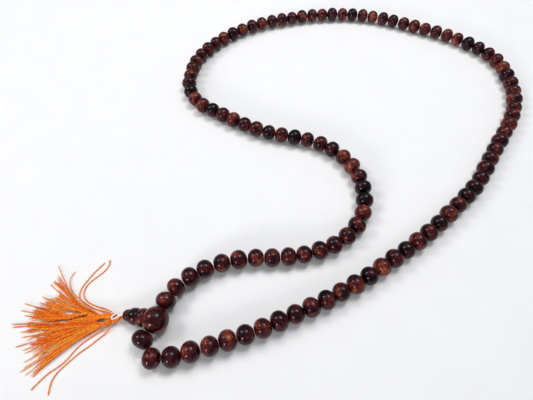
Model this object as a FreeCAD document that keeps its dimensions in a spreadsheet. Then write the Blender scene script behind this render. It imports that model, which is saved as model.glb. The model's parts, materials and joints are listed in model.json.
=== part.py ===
import FreeCAD, Part
import math
import os
import Sketcher

# A string of 108 turned wooden prayer beads, with a larger guru bead, a ridged end bead and a
# thread tassel, lying in an open loop on a flat surface.
#
# Units are millimetres. Z = 0 is the surface and +Z is up. The origin is the middle of the object's
# footprint. The tassel points along -X. Beads are numbered along the string from the guru bead.

Vector = FreeCAD.Vector
X_AXIS = Vector(1, 0, 0)
Z_AXIS = Vector(0, 0, 1)

DRIVING_DIMENSIONS = [
    ("bead_diameter", 8.0),
    ("bead_bore", 1.6),
    ("bead_rim", 2.4),            # flat ring round each mouth of a bead's bore
    ("bead_gap", 0.2),
    ("strand_height", 4.15),      # the string's height over the surface
    ("string_diameter", 0.6),
    ("guru_diameter", 10.3),
    ("guru_bore", 2.3),
    ("ridged_bore", 2.4),
    ("ridged_clearance", 0.15),   # between the guru bead and the dished base of the ridged bead
    ("base_ring_diameter", 7.1),
    ("middle_ring_diameter", 6.7),
    ("tip_ring_diameter", 4.6),
    ("base_ring_end", 7.1),       # distances from the guru bead's centre, along the ridged bead's axis
    ("middle_ring_end", 10.8),
    ("ridged_tip", 13.5),
    ("groove_depth", 0.45),
    ("tail_spacing", 0.8),        # between the string's two tails inside the ridged bead
    ("tail_end", 12.6),
    ("tassel_cord_diameter", 1.5),
    ("thread_diameter", 0.46),
    ("neck_length", 3.4),
    ("neck_width", 5.4),
    ("neck_height", 3.6),
    ("skirt_height", 3.4),
    ("soft_rounding", 1.0),
]

# The string's route, as (x, y, beads on the straight run that starts there). It begins and ends at the
# guru bead's centre. Four of the corners are where the strand flexes, and they form a parallelogram.
STRAND = [
    (-67.3, -96.0, 1),
    (-63.3, -85.0, 1),
    (-59.0, -79.8, 2),
    (-46.8, -72.8, 2),
    (-32.5, -69.8, 2),
    (-18.5, -70.1, 2),
    (-5.0, -68.3, 2),
    (8.2, -63.0, 2),
    (18.5, -52.0, 2),
    (22.0, -37.8, 2),
    (20.0, -24.0, 2),
    (12.5, -12.0, 2),
    (1.0, -4.0, 4),
    (-25.5, 3.5, 2),
    (-38.0, 10.5, 4),
    (-61.0, 26.0, 2),
    (-67.3, 39.0, 2),
    (-67.0, 52.8, 2),
    (-64.0, 66.0, 2),
    (-56.3, 78.0, 2),
    (-46.5, 88.3, 2),
    (-34.5, 96.8, 2),
    (-21.6, 102.8, 4),
    (5.3, 109.4, 3),
    (25.7, 110.6, 2),
    (39.0, 109.2, 2),
    (52.0, 105.7, 2),
    (64.5, 100.0, 4),
    (89.5, 86.5, 2),
    (100.5, 78.2, 2),
    (110.5, 68.0, 2),
    (116.5, 55.3, 3),
    (116.2, 34.2, 2),
    (112.5, 20.7, 2),
    (106.0, 8.2, 4),
    (88.6, -15.1, 3),
    (76.0, -33.0, 2),
    (66.0, -42.5, 3),
    (49.5, -57.0, 2),
    (38.0, -65.5, 4),
    (14.5, -81.0, 3),
    (-4.0, -90.5, 4),
    (-29.5, -101.0, 3),
    (-49.5, -107.0, 2),
    (-63.6, -110.6, 1),
    (-72.6, -109.2, 0),
    (-73.6, -107.37, 1),
    (-67.3, -96.0, 0),
]
FLEX_CORNERS = [15, 27, 36, 43]
FLEX_ANGLE = 10.0                 # degrees by which each of those corners may turn more sharply

# Length left bare at the start and at the end of a run, where the beads don't fill it.
BARE_LENGTHS = {0: (5.1, 0.0), 44: (0.0, 2.2), 46: (1.4, 5.1)}

DIAMETER_VARIATION = 0.035        # turned beads differ a little: this share of the diameter, either way
VARIATION_STEP = 2.4              # radians from one bead's diameter to the next bead's
FLEX_CLEARANCE = 0.16             # each string end stops this far short of a flexing point
BEND_ALLOWANCE = 0.1              # left between a bending string and a bore's wall
LEAST_BEND_RADIUS = 1.8           # where the string turns sharply, clear of the small bores
VOLUME_TOLERANCE = 0.01

RIDGED_DIRECTION = Vector(-0.955, 0.230, -0.187)   # from the guru bead's centre to the tassel

# Where the tassel's neck meets its skirt, in plan, and the skirt's outline from there: x towards the
# fringe and y to the left of it. The fringe is the arc through FRINGE_CREST.
SKIRT_START = Vector(-88.0, -94.3, 0)
SKIRT_OUTLINE = [(0.0, -1.8), (4.0, -2.4), (12.0, -6.3), (24.0, -17.8), (22.4, 18.1), (10.0, 7.4), (0.0, 2.3)]
FRINGE_CORNER = 3
FRINGE_CREST = (32.0, -1.0)

# Routes of the tassel's own cord, of the string's tie, and of the threads that have come loose.
TASSEL_CORD = [(-80.19, -92.9, 2.3), (-82.2, -94.2, 2.1), (-84.2, -95.1, 1.8)]
STRING_TIE = [(-80.19, -92.9, 3.42), (-82.6, -92.8, 3.3), (-84.4, -93.6, 2.6)]
STRAY_THREADS = {
    "stray_thread_upper_outer": [
        (-86.2, -91.3, 1.6), (-88.6, -89.6, 0.7), (-92.6, -88.6, 0.3), (-97.2, -86.6, 0.3),
        (-99.9, -83.6, 0.3), (-99.6, -79.6, 0.3), (-96.6, -76.2, 0.3), (-93.2, -73.2, 0.3),
        (-91.5, -70.0, 0.3), (-92.0, -67.8, 0.3)],
    "stray_thread_upper_inner": [
        (-87.2, -91.3, 0.9), (-90.2, -90.4, 0.5), (-94.2, -89.2, 0.3), (-98.6, -87.2, 0.3),
        (-101.5, -84.0, 0.3), (-101.2, -80.2, 0.3), (-99.2, -76.6, 0.3), (-96.8, -72.6, 0.3),
        (-93.9, -69.1, 0.3)],
    "stray_thread_lower_inner": [
        (-87.3, -97.25, 1.4), (-89.6, -98.7, 0.5), (-92.8, -100.9, 0.3), (-95.8, -103.2, 0.3),
        (-98.0, -106.0, 0.3), (-99.7, -108.8, 0.3), (-102.0, -111.3, 0.3), (-105.2, -113.4, 0.3),
        (-107.8, -116.2, 0.3), (-110.0, -119.2, 0.3)],
    "stray_thread_lower_outer": [
        (-85.6, -97.25, 1.5), (-86.8, -99.0, 0.6), (-89.4, -101.2, 0.3), (-92.6, -104.2, 0.3),
        (-95.6, -106.4, 0.3), (-98.2, -109.0, 0.3), (-100.6, -111.6, 0.3), (-102.8, -114.2, 0.3),
        (-103.8, -117.6, 0.3), (-103.4, -121.0, 0.3)],
}

doc = FreeCAD.newDocument("PrayerBeads")
sheet = doc.addObject("Spreadsheet::Sheet", "sizes")
for row, (alias, number) in enumerate(DRIVING_DIMENSIONS, start=1):
    sheet.set(f"A{row}", alias)
    sheet.set(f"B{row}", str(number))
    sheet.setAlias(f"B{row}", alias)
doc.recompute()

sub_parts = []


class Size:
    """A length worked out from the sheet, with the expression that binds a property to it."""

    def __init__(self, value, text):
        self.value = value
        self.text = text

    def __add__(self, other):
        other = as_size(other)
        return Size(self.value + other.value, f"({self.text} + {other.text})")

    def __sub__(self, other):
        other = as_size(other)
        return Size(self.value - other.value, f"({self.text} - {other.text})")

    def __mul__(self, other):
        other = as_size(other)
        return Size(self.value * other.value, f"({self.text} * {other.text})")

    def __truediv__(self, other):
        other = as_size(other)
        return Size(self.value / other.value, f"({self.text} / {other.text})")

    def square_root(self):
        return Size(math.sqrt(self.value), f"sqrt({self.text})")


def as_size(number):
    """A plain number as a Size."""
    if isinstance(number, Size):
        return number
    return Size(number, f"{number:.6f}")


def cell(alias):
    """The Size that a cell of the sheet holds."""
    return Size(float(sheet.get(alias)), f"<<sizes>>.{alias}")


def bind(thing, name, size):
    """Binds a property of a document object to the sheet."""
    thing.setExpression(name, size.text)


def origin_plane(body, role):
    """One of a body's own origin planes."""
    return next(f for f in body.Origin.OriginFeatures if f.Role == role)


def new_sketch(body):
    """An empty sketch on a body's XY plane."""
    sketch = body.newObject("Sketcher::SketchObject", body.Name + "Outline")
    sketch.AttachmentSupport = [(origin_plane(body, "XY_Plane"), "")]
    sketch.MapMode = "FlatFace"
    return sketch


def arc_crest(start, end, radius, side):
    """The middle of the shorter arc of this radius from start to end, on its left (1) or right (-1)."""
    half_chord = (end - start) / 2
    height = radius - math.sqrt(radius ** 2 - half_chord.Length ** 2)
    sideways = Vector(-half_chord.y, half_chord.x, 0).normalize()
    return start + half_chord + sideways * (side * height)


def fix_distance(sketch, kind, edge, point, size):
    """Holds a point of a sketch at a distance from the sketch's origin."""
    index = sketch.addConstraint(Sketcher.Constraint(kind, -1, 1, edge, point, size.value))
    sketch.setExpression(f"Constraints[{index}]", size.text)


def add_outline(sketch, corners, arcs):
    """Adds a closed outline. corners are pairs of Sizes, and arcs maps the number of the corner where
    an arc starts to its radius and the side that it bulges to; the other edges are straight."""
    points = [Vector(x.value, y.value, 0) for x, y in corners]
    edges = []
    for number, start in enumerate(points):
        end = points[(number + 1) % len(points)]
        if number in arcs:
            radius, side = arcs[number]
            edge = sketch.addGeometry(Part.Arc(start, arc_crest(start, end, radius.value, side), end))
            index = sketch.addConstraint(Sketcher.Constraint("Radius", edge, radius.value))
            sketch.setExpression(f"Constraints[{index}]", radius.text)
        else:
            edge = sketch.addGeometry(Part.LineSegment(start, end))
        starts_at_one = sketch.getPoint(edge, 1).distanceToPoint(start) < 0.001
        edges.append((edge, 1, 2) if starts_at_one else (edge, 2, 1))
    for number, (edge, first, last) in enumerate(edges):
        next_edge, next_first, _ = edges[(number + 1) % len(edges)]
        sketch.addConstraint(Sketcher.Constraint("Coincident", edge, last, next_edge, next_first))
        fix_distance(sketch, "DistanceX", edge, first, corners[number][0])
        fix_distance(sketch, "DistanceY", edge, first, corners[number][1])


def new_body(label, origin, direction):
    """An empty body at origin, with its X axis along direction."""
    body = doc.addObject("PartDesign::Body", label)
    body.Label = label
    body.AllowCompound = True
    body.Placement = FreeCAD.Placement(origin, FreeCAD.Rotation(X_AXIS, direction))
    sub_parts.append(body)
    return body


def revolve(body, sketch):
    """Turns a sketch a full circle about the body's X axis."""
    turned = body.newObject("PartDesign::Revolution", body.Name + "Turned")
    turned.Profile = sketch
    turned.ReferenceAxis = (sketch, ["H_Axis"])
    turned.Angle = 360


# ---- the route in space

def strand_point(number):
    """A corner of the string's route."""
    x, y, _ = STRAND[number]
    at_guru = number in (0, len(STRAND) - 1)
    return Vector(x, y, (cell("guru_diameter") / 2).value if at_guru else cell("strand_height").value)


def ridged_direction():
    """The unit vector from the guru bead's centre to the ridged bead's tip."""
    return Vector(RIDGED_DIRECTION).normalize()


def guru_centre():
    return strand_point(0)


def corner_gap(number):
    """The gap between the beads that meet at a corner, which keeps their rims apart in the turn."""
    before, corner, after = (strand_point(number + step) for step in (-1, 0, 1))
    turn = (corner - before).getAngle(after - corner)
    if number in FLEX_CORNERS:
        turn += math.radians(FLEX_ANGLE)
    return cell("bead_gap") + cell("bead_rim") * math.tan(turn / 2)


# ---- beads

def crown_radius(width, height):
    """The radius of an arc that is width long between its ends and stands out by height."""
    return (width * width / 4 + height * height) / (height * 2)


def bead_outline(sketch, start, end, bead_number):
    """Half the section of one bead between two places on its axis: a bulging side between two flat
    rims, over the wall of the bore."""
    bore_radius = cell("bead_bore") / 2
    rim_radius = cell("bead_rim") / 2
    variation = 1 + DIAMETER_VARIATION * math.sin(VARIATION_STEP * bead_number)
    rise = cell("bead_diameter") / 2 * variation - rim_radius
    side_radius = crown_radius(end - start, rise)
    corners = [(start, bore_radius), (end, bore_radius), (end, rim_radius), (start, rim_radius)]
    add_outline(sketch, corners, {2: (side_radius, -1)})


def make_bead_run(run, first_bead, count):
    """The beads on one straight run of the string, each a solid of its own."""
    start, end = strand_point(run), strand_point(run + 1)
    last_bead = first_bead + count - 1
    label = f"bead_{first_bead:03d}" if count == 1 else f"beads_{first_bead:03d}_{last_bead:03d}"
    bare_start, bare_end = BARE_LENGTHS.get(run, (0.0, 0.0))
    body = new_body(label, start, end - start)
    sketch = new_sketch(body)
    pitch = ((end - start).Length - bare_start - bare_end) / count
    for number in range(count):
        meets_start = number == 0 and bare_start == 0
        meets_end = number == count - 1 and bare_end == 0
        gap_before = corner_gap(run) if meets_start else cell("bead_gap")
        gap_after = corner_gap(run + 1) if meets_end else cell("bead_gap")
        bead_start = as_size(bare_start + number * pitch) + gap_before / 2
        bead_end = as_size(bare_start + (number + 1) * pitch) - gap_after / 2
        bead_outline(sketch, bead_start, bead_end, first_bead + number)
    revolve(body, sketch)


def make_beads():
    first_bead = 1
    for run, (_, _, count) in enumerate(STRAND):
        if count:
            make_bead_run(run, first_bead, count)
            first_bead += count
    return first_bead - 1


def make_guru_bead():
    """A sphere with three bores that meet at its centre: one for each side of the strand, and one for
    the string's tails."""
    centre = guru_centre()
    ball = doc.addObject("Part::Sphere", "GuruBall")
    bind(ball, "Radius", cell("guru_diameter") / 2)
    ball.Placement.Base = centre
    directions = [strand_point(1) - centre, strand_point(len(STRAND) - 2) - centre, ridged_direction()]
    bores = []
    for direction in directions:
        bore = doc.addObject("Part::Cylinder", "GuruBore")
        bind(bore, "Radius", cell("guru_bore") / 2)
        bind(bore, "Height", cell("guru_diameter"))
        bore.Placement = FreeCAD.Placement(centre, FreeCAD.Rotation(Z_AXIS, direction))
        bores.append(bore)
    joined_bores = doc.addObject("Part::MultiFuse", "GuruBores")
    joined_bores.Shapes = bores
    guru = doc.addObject("Part::Cut", "guru_bead")
    guru.Base = ball
    guru.Tool = joined_bores
    sub_parts.append(guru)


def make_ridged_bead():
    """The end bead: three rings that step down to the tassel, with a base dished to fit the guru bead.
    Its X axis starts at the guru bead's centre."""
    body = new_body("ridged_bead", guru_centre(), ridged_direction())
    sketch = new_sketch(body)
    bore_radius = cell("ridged_bore") / 2
    dish_radius = cell("guru_diameter") / 2 + cell("ridged_clearance")
    base_radius = cell("base_ring_diameter") / 2
    middle_radius = cell("middle_ring_diameter") / 2
    tip_radius = cell("tip_ring_diameter") / 2
    groove = cell("groove_depth")
    rim_radius = base_radius - groove / 2
    bore_start = (dish_radius * dish_radius - bore_radius * bore_radius).square_root()
    rim_start = (dish_radius * dish_radius - rim_radius * rim_radius).square_root()
    corners = [
        (bore_start, bore_radius),
        (cell("ridged_tip"), bore_radius),
        (cell("ridged_tip"), tip_radius - groove),
        (cell("middle_ring_end"), tip_radius - groove),
        (cell("middle_ring_end"), middle_radius - groove),
        (cell("base_ring_end"), middle_radius - groove),
        (cell("base_ring_end"), base_radius - groove),
        (rim_start, rim_radius),
    ]
    arcs = {
        2: (crown_radius(cell("ridged_tip") - cell("middle_ring_end"), groove), -1),
        4: (crown_radius(cell("middle_ring_end") - cell("base_ring_end"), groove), -1),
        6: (crown_radius(cell("base_ring_end") - rim_start, groove), -1),
        7: (dish_radius, 1),
    }
    add_outline(sketch, corners, arcs)
    revolve(body, sketch)


# ---- cords and threads

def bend_radius(before, corner, after, room):
    """The radius of the bend at a corner: as wide as its two runs allow, and where room isn't None, no
    wider than keeps the cord within room of the corner or than the least bend radius."""
    half_turn = (corner - before).getAngle(after - corner) / 2
    shorter_run = min((corner - before).Length, (after - corner).Length)
    radius = 0.45 * shorter_run / math.tan(half_turn)
    if room is not None:
        radius = min(radius, max(room / (1 / math.cos(half_turn) - 1), LEAST_BEND_RADIUS))
    return radius, half_turn


def route_wire(points, room):
    """Straight runs joined by tangent arcs through a list of points, and the arcs' radii."""
    edges = []
    radii = []
    last = points[0]
    for before, corner, after in zip(points, points[1:], points[2:]):
        radius, half_turn = bend_radius(before, corner, after, room)
        inward = (before - corner).normalize()
        outward = (after - corner).normalize()
        tangent_length = radius * math.tan(half_turn)
        arc_start = corner + inward * tangent_length
        arc_end = corner + outward * tangent_length
        bisector = (inward + outward).normalize()
        arc_middle = corner + bisector * (radius / math.cos(half_turn) - radius)
        edges.append(Part.LineSegment(last, arc_start).toShape())
        edges.append(Part.Arc(arc_start, arc_middle, arc_end).toShape())
        radii.append(radius)
        last = arc_end
    edges.append(Part.LineSegment(last, points[-1]).toShape())
    return Part.Wire(edges), radii


def make_tube(name, points, diameter, room=None):
    """A round cord swept along a route."""
    wire, radii = route_wire(points, room)
    route = doc.addObject("Part::Feature", name + "Route")
    route.Shape = wire
    section = doc.addObject("Part::Circle", name + "Section")
    bind(section, "Radius", diameter / 2)
    section.Placement = FreeCAD.Placement(points[0], FreeCAD.Rotation(Z_AXIS, points[1] - points[0]))
    tube = doc.addObject("Part::Sweep", name)
    tube.Sections = [section]
    tube.Spine = (route, [f"Edge{number + 1}" for number in range(len(wire.Edges))])
    tube.Solid = True
    tube.Transition = "Right corner"
    doc.recompute()
    expected = math.pi * diameter.value ** 2 / 4 * wire.Length
    if abs(tube.Shape.Volume - expected) > VOLUME_TOLERANCE * expected:
        raise RuntimeError(f"{name} has volume {tube.Shape.Volume:.2f}, not {expected:.2f}")
    print(f"{name}: {wire.Length:.1f} long, bend radii {[round(radius, 1) for radius in radii]}")
    return tube


def moved_towards(point, target, distance):
    """A point, moved a distance towards another."""
    return point + (target - point).normalize() * distance


def bore_room():
    """How far a bending string may leave the line between two beads' bores."""
    return ((cell("bead_bore") - cell("string_diameter")) / 2).value - BEND_ALLOWANCE


def make_strand_string(label, first_corner, last_corner):
    """The string inside one side of the strand, from one flexing point to the next."""
    points = [strand_point(number) for number in range(first_corner, last_corner + 1)]
    points[0] = moved_towards(points[0], points[1], FLEX_CLEARANCE)
    points[-1] = moved_towards(points[-1], points[-2], FLEX_CLEARANCE)
    sub_parts.append(make_tube(label, points, cell("string_diameter"), bore_room()))


def make_guru_string():
    """The string's two ends. Each runs from a flexing point through the beads to the guru bead, turns
    there, and leaves through the ridged bead beside the other."""
    direction = ridged_direction()
    sideways = Z_AXIS.cross(direction).normalize() * (cell("tail_spacing") / 2).value
    tail_end = guru_centre() + direction * cell("tail_end").value
    last_corner = len(STRAND) - 1
    routes = {
        "StringEndNear": (range(1, FLEX_CORNERS[0] + 1), -1),
        "StringEndFar": (range(last_corner - 1, FLEX_CORNERS[-1] - 1, -1), 1),
    }
    tubes = []
    for name, (corners, side) in routes.items():
        points = [tail_end + sideways * side, guru_centre() + sideways * side]
        points += [strand_point(number) for number in corners]
        points[-1] = moved_towards(points[-1], points[-2], FLEX_CLEARANCE)
        tubes.append(make_tube(name, points, cell("string_diameter"), bore_room()))
    both = doc.addObject("Part::Compound", "string_a")
    both.Links = tubes
    sub_parts.append(both)


def make_cords():
    make_guru_string()
    make_strand_string("string_b", FLEX_CORNERS[0], FLEX_CORNERS[1])
    make_strand_string("string_c", FLEX_CORNERS[1], FLEX_CORNERS[2])
    make_strand_string("string_d", FLEX_CORNERS[2], FLEX_CORNERS[3])
    routes = {"tassel_cord": (TASSEL_CORD, "tassel_cord_diameter"), "string_tie": (STRING_TIE, "string_diameter")}
    for label, points in STRAY_THREADS.items():
        routes[label] = (points, "thread_diameter")
    for label, (points, diameter) in routes.items():
        sub_parts.append(make_tube(label, [Vector(*point) for point in points], cell(diameter)))


# ---- the tassel's solid parts

def make_padded_body(label, corners, arcs, height):
    """A soft piece that lies on the surface: an outline with a height and rounded edges. Its X axis
    points away from the beads."""
    body = new_body(label, SKIRT_START, X_AXIS * -1)
    body.Placement = FreeCAD.Placement(SKIRT_START, FreeCAD.Rotation(Z_AXIS, 180))
    sketch = new_sketch(body)
    sketch_corners = [(as_size(x), as_size(y)) for x, y in corners]
    add_outline(sketch, sketch_corners, arcs)
    pad = body.newObject("PartDesign::Pad", body.Name + "Pad")
    pad.Profile = sketch
    bind(pad, "Length", height)
    doc.recompute()
    flat_edges = [
        f"Edge{number}" for number, edge in enumerate(pad.Shape.Edges, start=1)
        if edge.BoundBox.ZLength < 0.001]
    rounding = body.newObject("PartDesign::Fillet", body.Name + "Rounding")
    rounding.Base = (pad, flat_edges)
    bind(rounding, "Radius", cell("soft_rounding"))


def circle_radius(first, second, third):
    """The radius of the circle through three points."""
    a = (second - first).Length
    b = (third - second).Length
    c = (first - third).Length
    area = (second - first).cross(third - first).Length / 2
    return a * b * c / (4 * area)


def make_tassel_solids():
    """The neck, where the tassel's threads are doubled over its cord, and the fan of cut threads."""
    length = cell("neck_length").value
    half_width = cell("neck_width").value / 2
    neck = [(-length, -half_width), (-0.05, -half_width), (-0.05, half_width), (-length, half_width)]
    make_padded_body("tassel_neck", neck, {}, cell("neck_height"))
    ends = [Vector(*SKIRT_OUTLINE[number], 0) for number in (FRINGE_CORNER, FRINGE_CORNER + 1)]
    fringe_radius = as_size(circle_radius(ends[0], Vector(*FRINGE_CREST, 0), ends[1]))
    make_padded_body("tassel_skirt", SKIRT_OUTLINE, {FRINGE_CORNER: (fringe_radius, -1)}, cell("skirt_height"))


def check_and_write():
    """Stops at any failed object or broken shape, and then writes every sub-part."""
    doc.recompute()
    for thing in doc.Objects:
        if "Invalid" in thing.State or "Error" in thing.State:
            raise RuntimeError(f"{thing.Label} failed: {thing.State}")
    for sub_part in sub_parts:
        if sub_part.Shape.isNull() or not sub_part.Shape.isValid():
            raise RuntimeError(f"{sub_part.Label} has no valid shape")
    os.makedirs("parts", exist_ok=True)
    for sub_part in sub_parts:
        sub_part.Shape.exportStep(f"parts/{sub_part.Label}.step")
    boxes = [sub_part.Shape.BoundBox for sub_part in sub_parts]
    print(f"{len(sub_parts)} sub-parts, {sum(len(part.Shape.Solids) for part in sub_parts)} solids")
    print("X", min(box.XMin for box in boxes), max(box.XMax for box in boxes))
    print("Y", min(box.YMin for box in boxes), max(box.YMax for box in boxes))
    print("Z", min(box.ZMin for box in boxes), max(box.ZMax for box in boxes))


bead_count = make_beads()
make_guru_bead()
make_ridged_bead()
make_cords()
make_tassel_solids()
print(f"{bead_count} beads")
check_and_write()
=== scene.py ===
import json
import math
import random

import bpy
from mathutils import Matrix, Vector


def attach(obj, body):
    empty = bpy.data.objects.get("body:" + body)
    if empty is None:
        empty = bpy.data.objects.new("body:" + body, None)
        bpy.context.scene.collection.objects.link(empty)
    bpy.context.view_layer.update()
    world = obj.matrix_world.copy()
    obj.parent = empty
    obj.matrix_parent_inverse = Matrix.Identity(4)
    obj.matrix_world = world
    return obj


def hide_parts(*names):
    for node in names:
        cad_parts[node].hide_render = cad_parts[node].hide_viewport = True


# The looks of a string of prayer beads: polished rosewood beads on a nylon filament, with an orange
# thread tassel. Lengths are in metres unless a name says otherwise. +Z is up, and z = 0 is the surface.

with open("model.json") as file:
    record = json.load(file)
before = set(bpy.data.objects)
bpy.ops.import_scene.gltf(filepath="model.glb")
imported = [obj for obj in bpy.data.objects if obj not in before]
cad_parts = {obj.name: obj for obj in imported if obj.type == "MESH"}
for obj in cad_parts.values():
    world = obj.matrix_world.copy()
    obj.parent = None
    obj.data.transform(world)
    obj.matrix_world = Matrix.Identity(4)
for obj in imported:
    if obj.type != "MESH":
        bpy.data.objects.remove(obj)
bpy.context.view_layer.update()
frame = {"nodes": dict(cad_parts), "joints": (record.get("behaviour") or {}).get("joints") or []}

MM = 0.001

# Beads that are plainly darker or brighter than the rest, by their number along the string.
DARK_BEADS = {16, 17, 21, 24, 26, 31, 34, 53, 55, 66, 71, 84, 85, 88, 91, 94}
BRIGHT_BEADS = {15, 19, 32, 33, 54, 57, 61, 64, 65, 70, 73, 76, 87, 90, 93}

BEAD_RADIUS = 4 * MM
BEAD_BORE_RADIUS = 0.8 * MM
BEAD_RIM_RADIUS = 1.2 * MM
BEAD_SEGMENTS = 48
BEAD_STEPS = 26

THREAD_RADIUS = 0.23 * MM
THREAD_PITCH = 1.9 * MM
PLY_COUNT = 2
PLY_SIDES = 5
PLY_WIDTH = 0.56                  # a ply's radius, as a share of the thread's
PLY_REACH = 0.46                  # how far a ply's middle is from the thread's, as a share of its radius
# Painted shade and light: the darker ply and the brighter ply stand in for the light and shade along a
# thread's twist.
PLY_PAINTED_SHADE_AND_LIGHT = (-0.13, 0.22)         # one ply is darker and the other brighter than the thread's tone
FRAYED_LENGTH = 1.6 * MM          # the plies of a thread part over this length at its end


# ---- small helpers

def join_loops(loops, first):
    """Quads between neighbouring loops of points, each loop closed on itself, numbered from first."""
    faces = []
    count = len(loops[0])
    for row in range(len(loops) - 1):
        for place in range(count):
            beside = (place + 1) % count
            low = first + row * count
            high = low + count
            faces.append((low + place, low + beside, high + beside, high + place))
    return faces


def new_object(name, verts, faces, material, attributes=None):
    """A smooth-shaded mesh object, with float or vector attributes on its points."""
    mesh = bpy.data.meshes.new(name)
    mesh.from_pydata([tuple(vert) for vert in verts], [], faces)
    mesh.polygons.foreach_set("use_smooth", [True] * len(mesh.polygons))
    for key, values in (attributes or {}).items():
        if isinstance(values[0], (float, int)):
            mesh.attributes.new(key, "FLOAT", "POINT").data.foreach_set("value", values)
        else:
            flat = [number for value in values for number in value]
            mesh.attributes.new(key, "FLOAT_VECTOR", "POINT").data.foreach_set("vector", flat)
    mesh.materials.append(material)
    mesh.update()
    piece = bpy.data.objects.new(name, mesh)
    bpy.context.scene.collection.objects.link(piece)
    return piece


class Nodes:
    """A material's node tree, with short calls for making and joining nodes."""

    def __init__(self, name):
        self.material = bpy.data.materials.new(name)
        self.material.use_nodes = True
        self.tree = self.material.node_tree
        self.shader = self.tree.nodes["Principled BSDF"]

    def add(self, kind, links=None, **settings):
        node = self.tree.nodes.new(kind)
        for key, value in settings.items():
            setattr(node, key, value)
        for key, value in (links or {}).items():
            self.feed(node.inputs[key], value)
        return node

    def feed(self, socket, value):
        if isinstance(value, bpy.types.NodeSocket):
            self.tree.links.new(value, socket)
        else:
            socket.default_value = value

    def set(self, **values):
        for key, value in values.items():
            self.feed(self.shader.inputs[key.replace("_", " ")], value)

    def math(self, operation, first, second=0.0, clamp=False):
        links = {0: first, 1: second}
        return self.add("ShaderNodeMath", links, operation=operation, use_clamp=clamp).outputs[0]

    def scaled(self, vector, scale):
        links = {0: vector, 1: scale}
        return self.add("ShaderNodeVectorMath", links, operation="MULTIPLY").outputs[0]

    def noise(self, vector, scale, detail=2.0, roughness=0.5):
        links = {"Vector": vector, "Scale": scale, "Detail": detail, "Roughness": roughness}
        return self.add("ShaderNodeTexNoise", links)

    def ramp(self, value, stops):
        node = self.add("ShaderNodeValToRGB", {"Fac": value})
        elements = node.color_ramp.elements
        while len(elements) < len(stops):
            elements.new(0.5)
        for element, (place, color) in zip(elements, stops):
            element.position = place
            element.color = (*color, 1.0)
        return node.outputs["Color"]

    def attribute(self, name, output):
        return self.add("ShaderNodeAttribute", attribute_name=name).outputs[output]

    def bump(self, height, strength, distance):
        links = {"Height": height, "Strength": strength, "Distance": distance}
        self.set(Normal=self.add("ShaderNodeBump", links).outputs["Normal"])


# ---- materials

def rosewood(name, tone=None):
    """Polished rosewood. The grain runs along X of its own coordinates, in units of a bead's radius. They
    and the tone, from 0 dark to 1 bright, come from the mesh's attributes where no tone is given."""
    nodes = Nodes(name)
    if tone is None:
        grain = nodes.attribute("grain", "Vector")
        tone = nodes.attribute("tone", "Fac")
    else:
        place = nodes.add("ShaderNodeTexCoord").outputs["Object"]
        grain = nodes.scaled(place, (1 / BEAD_RADIUS,) * 3)
    wander = nodes.noise(grain, 1.3, 2.5).outputs["Color"]
    pull = nodes.add("ShaderNodeVectorMath", {0: wander, 1: (0.5, 0.5, 0.5)}, operation="SUBTRACT")
    bent = nodes.add("ShaderNodeVectorMath", {0: pull.outputs[0], 1: (1.3, 1.3, 1.3), 2: grain},
                     operation="MULTIPLY_ADD").outputs[0]
    layers = nodes.noise(nodes.scaled(bent, (0.5, 1.8, 3.4)), 1.3, 5.0, 0.62).outputs["Fac"]
    patches = nodes.noise(nodes.scaled(grain, (0.6, 1.0, 1.0)), 0.95, 2.0).outputs["Fac"]
    streaks = nodes.noise(nodes.scaled(bent, (0.8, 9.0, 9.0)), 1.4, 3.0, 0.65).outputs["Fac"]
    pores = nodes.noise(nodes.scaled(bent, (2.0, 20.0, 20.0)), 1.7, 1.0).outputs["Fac"]
    depth = nodes.math("MULTIPLY_ADD", layers, 1.35)
    depth.node.inputs[2].default_value = -0.68
    spread = nodes.math("MULTIPLY_ADD", patches, 1.25)
    spread.node.inputs[2].default_value = -0.63
    fine = nodes.math("MULTIPLY_ADD", streaks, 0.8)
    fine.node.inputs[2].default_value = -0.40
    shade = nodes.math("ADD", nodes.math("ADD", depth, spread), nodes.math("ADD", fine, tone))
    color = nodes.ramp(shade, [
        (0.0, (0.0010, 0.0003, 0.0022)),
        (0.24, (0.0065, 0.0010, 0.0040)),
        (0.44, (0.030, 0.0036, 0.0068)),
        (0.62, (0.092, 0.0105, 0.0110)),
        (0.80, (0.215, 0.0380, 0.0170)),
        (1.0, (0.380, 0.1200, 0.0500)),
    ])
    pore_mask = nodes.ramp(pores, [(0.34, (0.45, 0.40, 0.40)), (0.44, (1.0, 1.0, 1.0))])
    mixed = nodes.add("ShaderNodeMix", data_type="RGBA", blend_type="MULTIPLY")
    mixed.inputs[0].default_value = 1.0
    nodes.feed(mixed.inputs[6], color)
    nodes.feed(mixed.inputs[7], pore_mask)
    polish = nodes.math("MULTIPLY_ADD", streaks, 0.16)
    polish.node.inputs[2].default_value = 0.08
    nodes.set(Base_Color=mixed.outputs[2], Roughness=polish, IOR=1.5)
    nodes.shader.inputs["Specular IOR Level"].default_value = 0.22
    nodes.bump(nodes.math("ADD", nodes.math("MULTIPLY", pores, 0.7), streaks), 0.25, 0.00004)
    return nodes.material


def filament(name, clearness):
    """Nylon filament, with faint drawing marks along it. Clearness is the share of light it lets through."""
    nodes = Nodes(name)
    place = nodes.add("ShaderNodeTexCoord").outputs["Object"]
    cloud = nodes.noise(place, 900.0, 2.0).outputs["Fac"]
    color = nodes.ramp(cloud, [(0.3, (0.86, 0.86, 0.84)), (0.7, (0.95, 0.95, 0.94))])
    nodes.set(Base_Color=color, Roughness=0.2, IOR=1.3)
    nodes.shader.inputs["Transmission Weight"].default_value = clearness
    nodes.bump(cloud, 0.2, 0.00004)
    return nodes.material


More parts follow.
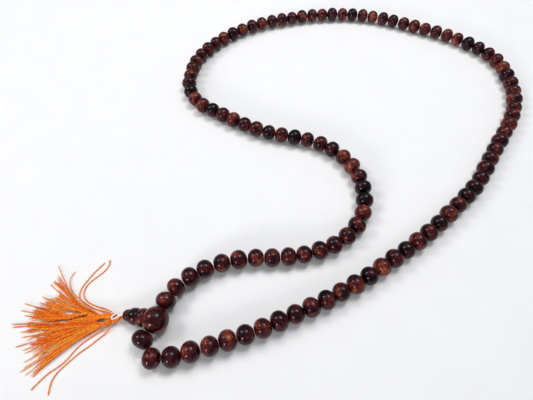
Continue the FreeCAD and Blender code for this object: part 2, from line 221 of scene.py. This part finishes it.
THREAD_COLORS = [
    (0.0, (0.66, 0.030, 0.0006)),
    (0.22, (1.0, 0.095, 0.0012)),
    (0.46, (1.0, 0.210, 0.0030)),
    (0.72, (1.0, 0.350, 0.012)),
    (1.0, (1.0, 0.54, 0.090)),
]


def thread_mesh_material():
    """Orange cotton thread, for modelled plies: each thread has its own tone, with painted shade on one ply
    and painted light on the other, and fibres run along it.
    """
    nodes = Nodes("orange_thread")
    tone = nodes.attribute("tone", "Fac")
    place = nodes.add("ShaderNodeTexCoord").outputs["Object"]
    mottle = nodes.noise(place, 420.0, 3.0, 0.6).outputs["Fac"]
    fibres = nodes.noise(nodes.scaled(place, (1.0, 3.0, 3.0)), 2600.0, 2.0).outputs["Fac"]
    uneven = nodes.math("MULTIPLY_ADD", mottle, 0.55)
    uneven.node.inputs[2].default_value = -0.27
    color = nodes.ramp(nodes.math("ADD", tone, uneven), THREAD_COLORS)
    nodes.set(Base_Color=color, Roughness=0.72, Specular_IOR_Level=0.2)
    nodes.shader.inputs["Sheen Weight"].default_value = 0.08
    nodes.shader.inputs["Sheen Roughness"].default_value = 0.4
    nodes.bump(fibres, 0.5, 0.00008)
    return nodes.material


def thread_curve_material():
    """The same thread on a plain round curve: the twist of its two plies is in the bump, and painted shade
    and light along the twist are in the colour.
    """
    nodes = Nodes("orange_thread_round")
    uv = nodes.add("ShaderNodeTexCoord").outputs["UV"]
    apart = nodes.add("ShaderNodeSeparateXYZ", {0: uv})
    turns = nodes.math("MULTIPLY", apart.outputs[0], 20.0)
    around = nodes.math("MULTIPLY", apart.outputs[1], 2.0)
    phase = nodes.math("MULTIPLY", nodes.math("ADD", turns, around), 2 * math.pi)
    twist = nodes.math("MULTIPLY_ADD", nodes.math("SINE", phase), 0.5)
    twist.node.inputs[2].default_value = 0.5
    place = nodes.add("ShaderNodeTexCoord").outputs["Object"]
    mottle = nodes.noise(place, 420.0, 3.0, 0.6).outputs["Fac"]
    # Painted shade and light: the twist term darkens and lightens the colour along the plies' winding; the
    # mottle is the thread's own unevenness.
    shade = nodes.math("ADD", nodes.math("MULTIPLY", twist, 0.35), nodes.math("MULTIPLY", mottle, 0.7))
    nodes.set(Base_Color=nodes.ramp(shade, THREAD_COLORS), Roughness=0.72, Specular_IOR_Level=0.2)
    nodes.shader.inputs["Sheen Weight"].default_value = 0.08
    nodes.bump(twist, 0.8, 0.00015)
    return nodes.material


def surface():
    """The plain pale surface that the beads lie on."""
    nodes = Nodes("pale_surface")
    place = nodes.add("ShaderNodeTexCoord").outputs["Object"]
    grain = nodes.noise(place, 60.0, 3.0).outputs["Fac"]
    color = nodes.ramp(grain, [(0.3, (0.88, 0.88, 0.89)), (0.7, (0.90, 0.90, 0.91))])
    nodes.set(Base_Color=color, Roughness=0.6)
    return nodes.material


# ---- camera, light and floor

CAMERA_PLACE = (-0.024, -0.150, 0.16094)
CAMERA_PITCH = math.radians(55.03)
CAMERA_ROLL = math.radians(-1.049)
CAMERA_LENS = 28
SENSOR_WIDTH = 36
FLOOR_HALF_WIDTH = 2.0
WORLD_COLOR = (0.93, 0.96, 1.0, 1.0)
WORLD_STRENGTH = 0.30
WARM_WHITE = (1.0, 0.99, 0.97)
WHITE = (1.0, 1.0, 1.0)

# Each light's name, place, aim, diameter, power in watts and colour.
LIGHTS = [
    ("front_light", (-0.55, -0.77, 0.31), (0, 0, 0), 0.20, 2.8, WARM_WHITE),
    ("left_light", (-0.69, 0.14, 0.71), (0, 0, 0), 0.34, 2.9, WARM_WHITE),
    ("right_light", (0.32, 0.24, 0.92), (0, 0, 0), 0.34, 2.8, WHITE),
    ("back_light", (0.05, 0.22, 0.60), (-0.05, 0.45, 0), 0.60, 1.5, WHITE),
]


def add_camera():
    """Above the near edge of the layout, looking steeply down and away."""
    pitch = CAMERA_PITCH
    roll = CAMERA_ROLL
    level = Vector((1, 0, 0))
    up = Vector((0, math.sin(pitch), math.cos(pitch)))
    right_tilted = math.cos(roll) * level + math.sin(roll) * up
    up_tilted = -math.sin(roll) * level + math.cos(roll) * up
    back = Vector((0, -math.cos(pitch), math.sin(pitch)))
    data = bpy.data.cameras.new("camera")
    data.lens = CAMERA_LENS
    data.sensor_width = SENSOR_WIDTH
    data.clip_start = 0.005
    camera = bpy.data.objects.new("camera", data)
    turn = Matrix((right_tilted, up_tilted, back)).transposed()
    camera.matrix_world = Matrix.Translation(CAMERA_PLACE) @ turn.to_4x4()
    bpy.context.scene.collection.objects.link(camera)
    bpy.context.scene.camera = camera


def add_light(name, place, aim, size, power, color):
    """A disc-shaped soft light."""
    data = bpy.data.lights.new(name, "AREA")
    data.shape = "DISK"
    data.size = size
    data.energy = power
    data.color = color
    light = bpy.data.objects.new(name, data)
    light.location = place
    light.rotation_euler = (Vector(place) - Vector(aim)).to_track_quat("Z", "Y").to_euler()
    bpy.context.scene.collection.objects.link(light)


def add_surroundings():
    """A pale studio with four soft lights and a plain floor."""
    world = bpy.data.worlds.new("studio")
    world.use_nodes = True
    background = world.node_tree.nodes["Background"]
    background.inputs["Color"].default_value = WORLD_COLOR
    background.inputs["Strength"].default_value = WORLD_STRENGTH
    bpy.context.scene.world = world
    bpy.context.scene.view_settings.view_transform = "Standard"
    for light in LIGHTS:
        add_light(*light)
    half = FLOOR_HALF_WIDTH
    verts = [(-half, -half, 0), (half, -half, 0), (half, half, 0), (-half, half, 0)]
    floor = new_object("pale_floor", verts, [(0, 1, 2, 3)], surface())


# ---- beads

# A bore's rounded mouth: how far along from the bead's end and out from its axis, in millimetres.
BEAD_MOUTH = [(0.30, 0.80), (0.12, 0.82), (0.03, 0.90), (0.0, 1.0)]
SAME_PLACE = 0.02 * MM

# How bright the wood is, from 0 to 1.
DARK_TONES = (0.26, 0.34)
BRIGHT_TONES = (0.58, 0.68)
USUAL_TONES = (0.42, 0.55)
GURU_TONE = 0.56
RIDGED_TONE = 0.53


def bead_profile(start, end, radius):
    """The outline of one bead as (along, out) pairs: the bore, its rounded mouths and the bulging side."""
    rise = radius - BEAD_RIM_RADIUS
    half = (end - start) / 2
    side_radius = (half * half + rise * rise) / (2 * rise)
    low = radius - side_radius
    first_angle = math.asin((BEAD_RIM_RADIUS - low) / side_radius)
    middle = (start + end) / 2
    profile = [(start + along * MM, out * MM) for along, out in BEAD_MOUTH]
    for step in range(BEAD_STEPS + 1):
        angle = math.pi - first_angle - step / BEAD_STEPS * (math.pi - 2 * first_angle)
        profile.append((middle + side_radius * math.cos(angle), low + side_radius * math.sin(angle)))
    profile += [(end - along * MM, out * MM) for along, out in reversed(BEAD_MOUTH)]
    profile.append(profile[0])
    return profile


def bead_tone(number, dice):
    """How bright a bead's wood is, from 0 to 1."""
    if number in DARK_BEADS:
        return dice.uniform(*DARK_TONES)
    if number in BRIGHT_BEADS:
        return dice.uniform(*BRIGHT_TONES)
    return dice.uniform(*USUAL_TONES)


def bead_ends(node, origin, axis):
    """Where each bead of a CAD node starts and ends along its axis, and how far out it reaches."""
    places = []
    for vert in node.data.vertices:
        offset = vert.co - origin
        along = offset.dot(axis)
        places.append((along, (offset - axis * along).length))
    edges = sorted(along for along, out in places if out < BEAD_BORE_RADIUS + SAME_PLACE)
    ends = []
    for along in edges:
        if not ends or along - ends[-1] > SAME_PLACE:
            ends.append(along)
    beads = []
    for start, end in zip(ends[::2], ends[1::2]):
        beads.append((start, end, max(out for along, out in places if start <= along <= end)))
    return beads


def add_beads(material):
    """The turned beads of each CAD node, as one piece that takes the node's own places and sizes."""
    joints = {joint["child"]: joint for joint in frame["joints"]}
    for name, node in frame["nodes"].items():
        if not name.startswith("bead"):
            continue
        joint = joints[name]
        origin = Vector(joint["pos_m"])
        axis = Vector(joint["axis"]).normalized()
        side = axis.cross(Vector((0, 0, 1))).normalized()
        rise = side.cross(axis)
        number = int(name.split("_")[1])
        verts, faces, grains, tones = [], [], [], []
        for start, end, radius in bead_ends(node, origin, axis):
            dice = random.Random(number)
            tone = bead_tone(number, dice)
            offset = Vector((dice.uniform(0, 50), dice.uniform(0, 50), dice.uniform(0, 50)))
            turn = Matrix.Rotation(dice.uniform(0, 2 * math.pi), 3, "Z")
            turn = Matrix.Rotation(dice.uniform(0, math.pi), 3, "X") @ turn
            turn = Matrix.Rotation(dice.uniform(-0.9, 0.9), 3, "Y") @ turn
            middle = origin + axis * ((start + end) / 2)
            loops = []
            for along, out in bead_profile(start, end, radius):
                loop = []
                for place in range(BEAD_SEGMENTS):
                    angle = 2 * math.pi * place / BEAD_SEGMENTS
                    around = side * math.cos(angle) + rise * math.sin(angle)
                    loop.append(origin + axis * along + around * out)
                loops.append(loop)
            faces += join_loops(loops, len(verts))
            for loop in loops:
                for point in loop:
                    verts.append(point)
                    grains.append(turn @ ((point - middle) / radius) + offset)
                    tones.append(tone)
            number += 1
        piece = new_object("turned_" + name, verts, faces, material, {"grain": grains, "tone": tones})
        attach(piece, name)
        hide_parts(name)


# ---- threads

def smooth_path(points, step):
    """Points about a step apart along the quadratic B-spline that a list of points controls."""
    points = [Vector(point) for point in points]
    ends = [points[0]] + [(a + b) / 2 for a, b in zip(points[1:], points[2:-1])] + [points[-1]]
    path = [points[0]]
    for start, bend, end in zip(ends, points[1:-1], ends[1:]):
        length = (bend - start).length + (end - bend).length
        count = max(2, round(length / step))
        for number in range(1, count + 1):
            t = number / count
            path.append((1 - t) ** 2 * start + 2 * t * (1 - t) * bend + t * t * end)
    return path


def ply_loops(path, radius, reach, phase, pitch):
    """Loops of points round one ply that winds about a path, and leaves it a little at the end."""
    loops = []
    travelled = 0.0
    whole = sum((b - a).length for a, b in zip(path, path[1:]))
    for number, point in enumerate(path):
        before = path[max(number - 1, 0)]
        after = path[min(number + 1, len(path) - 1)]
        ahead = (after - before).normalized()
        side = ahead.cross(Vector((0, 0, 1))).normalized()
        rise = side.cross(ahead)
        if number:
            travelled += (point - path[number - 1]).length
        ending = max(0.0, 1 - (whole - travelled) / FRAYED_LENGTH)
        angle = phase + 2 * math.pi * travelled / pitch
        away = reach * (1 + 1.3 * ending)
        centre = point + (side * math.cos(angle) + rise * math.sin(angle)) * away
        width = radius * (1 - 0.55 * ending)
        loop = []
        for place in range(PLY_SIDES):
            turn = 2 * math.pi * place / PLY_SIDES + angle
            loop.append(centre + (side * math.cos(turn) + rise * math.sin(turn)) * width)
        loops.append(loop)
    return loops


def add_threads(name, threads, material, node_names, radius=THREAD_RADIUS, pitch=THREAD_PITCH, move=None):
    """Two-ply threads as one object. Each is its control points and its tone, and move, where it's
    given, shifts each point of the smoothed threads."""
    verts, faces, tones = [], [], []
    for number, (points, tone) in enumerate(threads):
        dice = random.Random(1000 + number)
        phase = dice.uniform(0, 2 * math.pi)
        path = smooth_path(points, pitch / 8)
        if move:
            path = [move(point) for point in path]
        for ply in range(PLY_COUNT):
            loops = ply_loops(path, radius * PLY_WIDTH, radius * PLY_REACH, phase + ply * math.pi, pitch)
            first = len(verts)
            faces += join_loops(loops, first)
            last = first + (len(loops) - 1) * PLY_SIDES
            faces.append(tuple(range(first, first + PLY_SIDES)))
            faces.append(tuple(range(last + PLY_SIDES - 1, last - 1, -1)))
            for loop in loops:
                verts += loop
            # Painted shade and light: one ply gets a darker tone and the other a brighter one, for the light
            # and shade of the twist.
            tones += [tone + PLY_PAINTED_SHADE_AND_LIGHT[ply]] * (PLY_SIDES * len(loops))
    piece = new_object(name, verts, faces, material, {"tone": tones})
    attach(piece, "tassel")
    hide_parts(*node_names)


# The fan's edges and middle in plan, in millimetres, from the neck to the fringe.
FAN_UPPER = [(-88.0, -92.2), (-92.2, -91.3), (-100.4, -87.3), (-107.4, -80.6), (-112.3, -76.0)]
FAN_MIDDLE = [(-88.0, -94.3), (-94.0, -94.2), (-102.5, -94.2), (-111.5, -94.6), (-119.0, -95.0)]
FAN_LOWER = [(-88.0, -96.6), (-91.0, -98.3), (-98.0, -102.4), (-105.6, -108.2), (-110.4, -112.8)]
FAN_APEX = (-84.0, -94.3)
FAN_HALF_ANGLE = 34.0

# The neck's two fingers, where the threads double back over the cord and the string: x, y and half width.
FINGER_UPPER = [(-84.2, -92.8, 0.6), (-86.6, -93.4, 1.0), (-89.2, -93.7, 1.2)]
FINGER_LOWER = [(-85.4, -95.4, 0.7), (-87.2, -95.7, 0.8), (-89.4, -96.4, 0.8)]
FINGER_SHARE = -0.15              # threads above this share of the fan start at the upper finger

# How high the fan's topmost threads lie over its lowest ones, from the neck to the fringe.
FAN_LOWEST = 0.34
FAN_THICKNESS = (2.0, 2.0, 1.25, 0.85, 0.62)

# Gaps between the fan's locks: a line in plan and the half width of the gap.
PARTINGS = [
    ([(-110.5, -85.6), (-106.7, -89.2), (-103.9, -90.9), (-98.9, -91.6)], 0.82),
    ([(-115.6, -94.1), (-109.2, -94.8), (-101.6, -94.0), (-95.4, -92.6)], 0.42),
    ([(-89.8, -94.9), (-88.0, -94.8)], 0.75),
]
PARTING_REACH = 2.4
PARTING_END = 1.2                 # a gap closes over this length past the ends of its line

# Threads whose ends stand out of the fringe, by the place of the end.
FRINGE_ENDS = [
    (-113.5, -70.0), (-112.4, -75.6), (-113.7, -77.3), (-114.6, -78.4), (-122.8, -86.6), (-123.4, -89.5),
    (-121.2, -91.6), (-125.3, -95.1), (-124.5, -96.3), (-120.6, -98.3), (-119.5, -100.3), (-120.7, -104.0),
    (-117.6, -105.2), (-116.4, -106.3), (-115.6, -109.6), (-115.1, -111.7), (-116.1, -113.1),
    (-113.8, -114.2), (-110.9, -114.9)]
CURLED_THREAD = [
    (-88.0, -92.3, 2.2), (-95.0, -89.0, 1.0), (-101.6, -84.6, 0.6), (-105.1, -81.5, 0.5),
    (-106.9, -77.3, 0.45), (-106.8, -75.2, 0.4), (-105.5, -72.9, 0.4)]


def fan_point(share, station):
    """A point of the fan: share runs from -1 at the lower edge to 1 at the upper one."""
    upper, middle, lower = (Vector(line[station]) for line in (FAN_UPPER, FAN_MIDDLE, FAN_LOWER))
    edge = upper if share > 0 else lower
    return middle.lerp(edge, abs(share))


def parted(place):
    """A point of a thread, in metres, moved sideways out of the gaps between the fan's locks."""
    point = Vector(place.xy) / MM
    for line, half_width in PARTINGS:
        feet = []
        for start, end in zip(line, line[1:]):
            start, end = Vector(start), Vector(end)
            along = (point - start).dot(end - start) / (end - start).length_squared
            foot = start + (end - start) * max(0.0, min(1.0, along))
            feet.append(((point - foot).length, foot, end - start))
        distance, foot, direction = min(feet, key=lambda entry: entry[0])
        if distance < PARTING_REACH:
            sideways = Vector((-direction.y, direction.x)).normalized()
            across = (point - foot).dot(sideways)
            fading = max(0.0, 1 - abs((point - foot).dot(direction.normalized())) / PARTING_END)
            push = half_width * (1 - distance / PARTING_REACH) * fading
            point = point + sideways * (push if across > 0 else -push)
    return Vector((point.x * MM, point.y * MM, place.z))


def finger_points(share, layer, spread):
    """The start of a thread: it comes from below, turns round the tip of its finger, and runs back."""
    finger = FINGER_UPPER if share > FINGER_SHARE else FINGER_LOWER
    (x, y, half_width), middle, last = finger
    side = y + spread * half_width
    low = 1.55 - 1.1 * layer
    high = 1.75 + 1.25 * layer
    tip = x + 0.7 * layer - 0.45
    points = [Vector((x - 2.2, side, low)), Vector((tip, side, low)), Vector((tip, side, high))]
    for place, (x, y, half_width) in enumerate((middle, last)):
        points.append(Vector((x, y + spread * half_width, high - 0.12 - 0.2 * place)))
    return points


def fan_heights(layer, station):
    """How high a thread lies at a station of the fan."""
    return FAN_LOWEST + layer * FAN_THICKNESS[station]


def loose_fan_thread(share, drift, sway, reach, dice):
    """One of the fan's threads, which may drift across its neighbours as it goes out."""
    layer = dice.random()
    points = finger_points(share, layer, dice.uniform(-1, 1))
    for station in range(1, 5):
        here = max(-1.05, min(1.05, share + drift * (station - 1) / 3 * dice.uniform(0.7, 1.3)))
        plan = fan_point(here, station)
        plan.y += dice.uniform(-sway, sway) * station / 4
        plan.x += dice.uniform(-sway, sway) * 0.4 * station / 4
        points.append(Vector((plan.x, plan.y, fan_heights(layer, station))))
    ahead = (points[-1] - points[-2]).normalized()
    points[-1] = points[-1] + ahead * reach
    return points


def reaching_thread(end, dice):
    """A thread of the fan that ends at a given place, past the others."""
    offset = Vector(end) - Vector(FAN_APEX)
    angle = math.degrees(math.atan2(offset.y, -offset.x))
    share = max(-1.0, min(1.0, angle / FAN_HALF_ANGLE))
    layer = dice.uniform(0.1, 0.9)
    points = finger_points(share, layer, dice.uniform(-1, 1))
    for station in (1, 2, 3):
        plan = fan_point(share, station)
        plan.y += dice.uniform(-0.6, 0.6) * station / 3
        points.append(Vector((plan.x, plan.y, fan_heights(layer, station))))
    points.append(Vector((*end, 0.36)))
    return points


DENSE_THREADS = 150
EDGE_THREADS = 11
EDGE_SHARE = 0.62                 # above this share of the fan, its threads are sparse


def skirt_threads():
    """The fan's threads: dense below its middle, sparse at its upper edge, and of uneven lengths."""
    dice = random.Random(11)
    threads = []
    for number in range(DENSE_THREADS):
        share = -1.0 + 1.62 * (number + dice.uniform(0.1, 0.9)) / DENSE_THREADS
        near_parting = 0.02 < share < EDGE_SHARE
        drift = 0.0 if near_parting else dice.uniform(-0.42, 0.42)
        sway = 0.5 if near_parting else 1.4
        reach = dice.uniform(-8.0, 1.5)
        threads.append((loose_fan_thread(share, drift, sway, reach, dice), dice.uniform(0.16, 0.82)))
    for number in range(EDGE_THREADS):
        share = EDGE_SHARE + 0.40 * (number + dice.uniform(0.1, 0.9)) / EDGE_THREADS
        drift = dice.uniform(-0.08, 0.12)
        reach = dice.uniform(-7.0, 0.5)
        threads.append((loose_fan_thread(share, drift, 0.9, reach, dice), dice.uniform(0.2, 0.8)))
    for end in FRINGE_ENDS:
        threads.append((reaching_thread(end, dice), dice.uniform(0.3, 0.85)))
    threads.append(([Vector(point) for point in CURLED_THREAD], 0.6))
    return [([point * MM for point in points], tone) for points, tone in threads]


# The tassel's cord, the string's loop and the stray threads: points in millimetres.
CORD_STATIONS = [
    (-80.2, -93.0, 2.4), (-81.4, -93.7, 2.3), (-82.7, -94.6, 2.2), (-83.9, -95.4, 2.1),
    (-85.6, -95.7, 1.9), (-87.4, -95.8, 1.8)]
CORD_STRANDS = 4
CORD_STRAND_RADIUS = 0.46
CORD_WIND = 1.5                   # radians by which the strands wind from one station to the next
CORD_PLY_PITCH = 1.5 * MM
STRING_LOOP_RADIUS = 0.34 * MM
STRING_LOOP = [
    (-79.6, -92.1, 3.2), (-81.7, -91.8, 3.1), (-83.5, -92.4, 3.2), (-85.1, -93.6, 3.2), (-85.0, -94.9, 2.9),
    (-83.3, -94.1, 2.8), (-81.8, -93.0, 2.9), (-79.6, -92.6, 2.9)]


def add_cord(material):
    """The tassel's own cord: four strands laid together."""
    strands = []
    for number in range(CORD_STRANDS):
        points = []
        for place, (x, y, z) in enumerate(CORD_STATIONS):
            wind = math.pi / 2 * number + place * CORD_WIND
            beside = CORD_STRAND_RADIUS * math.cos(wind)
            above = CORD_STRAND_RADIUS * math.sin(wind)
            points.append(Vector((x + 0.4 * beside, y + 0.9 * beside, z + above)) * MM)
        strands.append((points, 0.30 + 0.08 * number))
    radius = CORD_STRAND_RADIUS * MM
    add_threads("tassel_cord_strands", strands, material, ["tassel_cord"], radius, CORD_PLY_PITCH)


def add_tie(material):
    """The loop of string that holds the upper half of the tassel."""
    piece = add_round_curve("string_loop", STRING_LOOP, STRING_LOOP_RADIUS, material)
    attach(piece, "tassel")
    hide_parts("string_tie")


STRAY_THREADS = {
    "stray_thread_upper_outer": [
        (-86.2, -91.3, 1.6), (-88.6, -89.6, 0.7), (-92.6, -88.6, 0.3), (-97.2, -86.6, 0.3),
        (-99.9, -83.6, 0.3), (-99.6, -79.6, 0.3), (-96.6, -76.2, 0.3), (-93.2, -73.2, 0.3),
        (-91.5, -70.0, 0.3), (-92.0, -67.8, 0.3)],
    "stray_thread_upper_inner": [
        (-87.2, -91.3, 0.9), (-90.2, -90.4, 0.5), (-94.2, -89.2, 0.3), (-98.6, -87.2, 0.3),
        (-101.5, -84.0, 0.3), (-101.2, -80.2, 0.3), (-99.2, -76.6, 0.3), (-96.8, -72.6, 0.3),
        (-93.9, -69.1, 0.3)],
    "stray_thread_lower_inner": [
        (-87.3, -97.25, 1.4), (-89.6, -98.7, 0.5), (-92.8, -100.9, 0.3), (-95.8, -103.2, 0.3),
        (-98.0, -106.0, 0.3), (-99.7, -108.8, 0.3), (-102.0, -111.3, 0.3), (-105.2, -113.4, 0.3),
        (-107.8, -116.2, 0.3), (-110.0, -119.2, 0.3)],
    "stray_thread_lower_outer": [
        (-85.6, -97.25, 1.5), (-86.8, -99.0, 0.6), (-89.4, -101.2, 0.3), (-92.6, -104.2, 0.3),
        (-95.6, -106.4, 0.3), (-98.2, -109.0, 0.3), (-100.6, -111.6, 0.3), (-102.8, -114.2, 0.3),
        (-103.8, -117.6, 0.3), (-103.4, -121.0, 0.3)],
}


def add_round_curve(name, points, radius, material):
    """A round cord along the smooth curve that a list of points, in millimetres, controls."""
    data = bpy.data.curves.new(name, "CURVE")
    data.dimensions = "3D"
    data.bevel_depth = radius
    data.bevel_resolution = 3
    data.resolution_u = 12
    data.use_fill_caps = True
    spline = data.splines.new("NURBS")
    spline.points.add(len(points) - 1)
    for point, (x, y, z) in zip(spline.points, points):
        point.co = (x * MM, y * MM, z * MM, 1.0)
    spline.order_u = 3
    spline.use_endpoint_u = True
    data.materials.append(material)
    piece = bpy.data.objects.new(name, data)
    bpy.context.scene.collection.objects.link(piece)
    return piece


def add_strays(material):
    """The four threads that have come loose from the fan."""
    for name, points in STRAY_THREADS.items():
        piece = add_round_curve("loose_" + name, points, THREAD_RADIUS, material)
        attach(piece, "tassel")
        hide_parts(name)


def paint_cad_nodes(nylon):
    """Materials for the CAD nodes that are shown as they are."""
    guru_wood = rosewood("rosewood_guru", tone=GURU_TONE)
    ridged_wood = rosewood("rosewood_ridged", tone=RIDGED_TONE)
    for name, node in frame["nodes"].items():
        material = None
        if name == "guru_bead":
            material = guru_wood
        if name == "ridged_bead":
            material = ridged_wood
        if name.startswith("string"):
            material = nylon
        if material:
            node.data.materials.clear()
            node.data.materials.append(material)


add_camera()
orange = thread_mesh_material()
add_strays(thread_curve_material())
add_surroundings()
add_beads(rosewood("rosewood_beads"))
add_threads("tassel_fan_threads", skirt_threads(), orange, ["tassel_skirt", "tassel_neck"], move=parted)
add_cord(orange)
add_tie(filament("nylon_loop", 0.05))
paint_cad_nodes(filament("nylon_string", 0.9))
